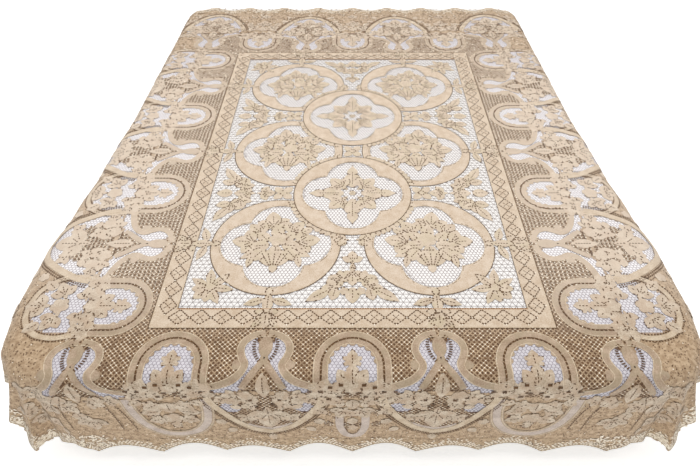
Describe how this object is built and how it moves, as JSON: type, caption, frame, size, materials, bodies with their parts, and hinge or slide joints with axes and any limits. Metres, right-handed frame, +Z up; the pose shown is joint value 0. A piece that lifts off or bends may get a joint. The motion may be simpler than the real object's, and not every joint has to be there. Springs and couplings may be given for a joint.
{
  "type": "lace bedspread on a mattress and bed base",
  "caption": "Ecru machine lace bedspread with scalloped hem, draped over a plain mattress on a low bed base, with folds at the foot corners.",
  "frame": {"origin": "on the floor under the middle of the bed, on the underside of the base", "axes": "+Z up, -Y towards the foot of the bed where the lace hangs longest, +X towards the right side seen from the foot"},
  "size_m": [1.7968, 2.0691, 0.4123],
  "materials": {
    "lace": "matte knitted cotton lace",
    "ticking": "matte white woven cotton",
    "base_cloth": "matte pale upholstery cloth"
  },
  "bodies": {
    "root": {"lace_bedspread": "lace", "mattress": "ticking", "bed_base": "base_cloth"}
  },
  "joints": []
}
